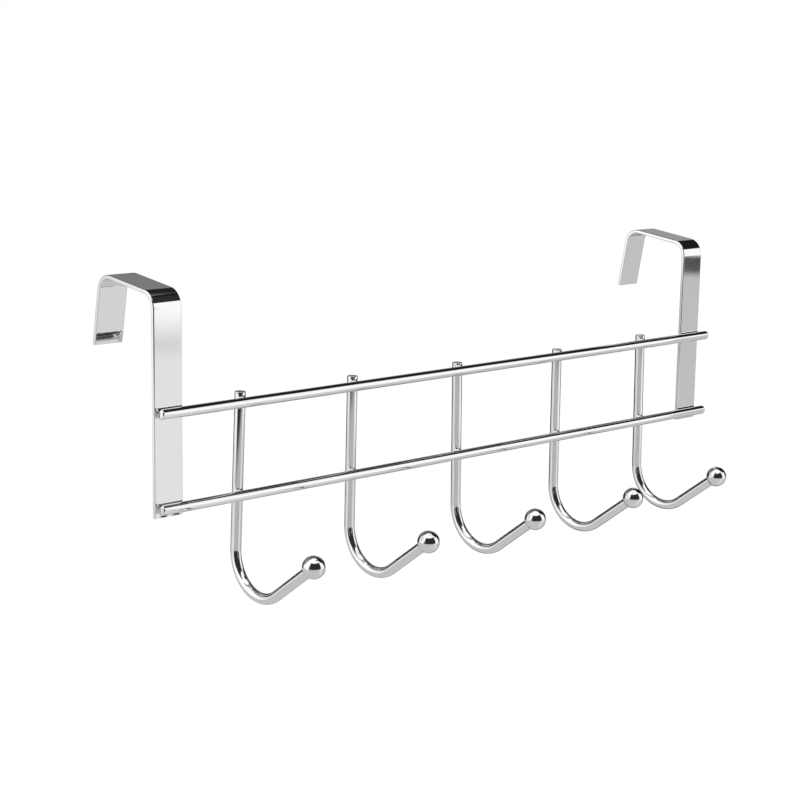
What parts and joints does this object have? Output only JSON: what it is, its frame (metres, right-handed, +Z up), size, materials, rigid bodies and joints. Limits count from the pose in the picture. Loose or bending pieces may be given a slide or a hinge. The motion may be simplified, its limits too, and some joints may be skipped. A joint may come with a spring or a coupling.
{
  "type": "over door hook",
  "caption": "Chrome over door rack: flat strap hangers over the door's top, round rails and ball-ended J hooks of round wire.",
  "frame": {"origin": "the top front edge of the door, midway between the two hangers", "axes": "+X along the rails to the right, -Y out into the room, +Y through the door, +Z up"},
  "size_m": [0.4481, 0.1268, 0.1776],
  "materials": {
    "chrome_strap": "bright mirror chrome on flat strip",
    "chrome_wire": "bright mirror chrome on round wire"
  },
  "bodies": {
    "root": {"left_door_hanger": "chrome_strap", "right_door_hanger": "chrome_strap", "upper_rail": "chrome_wire", "lower_rail": "chrome_wire", "hook_wire_1": "chrome_wire", "hook_wire_2": "chrome_wire", "hook_wire_3": "chrome_wire", "hook_wire_4": "chrome_wire", "hook_wire_5": "chrome_wire", "hook_ball_1": "chrome_wire", "hook_ball_2": "chrome_wire", "hook_ball_3": "chrome_wire", "hook_ball_4": "chrome_wire", "hook_ball_5": "chrome_wire"}
  },
  "joints": []
}
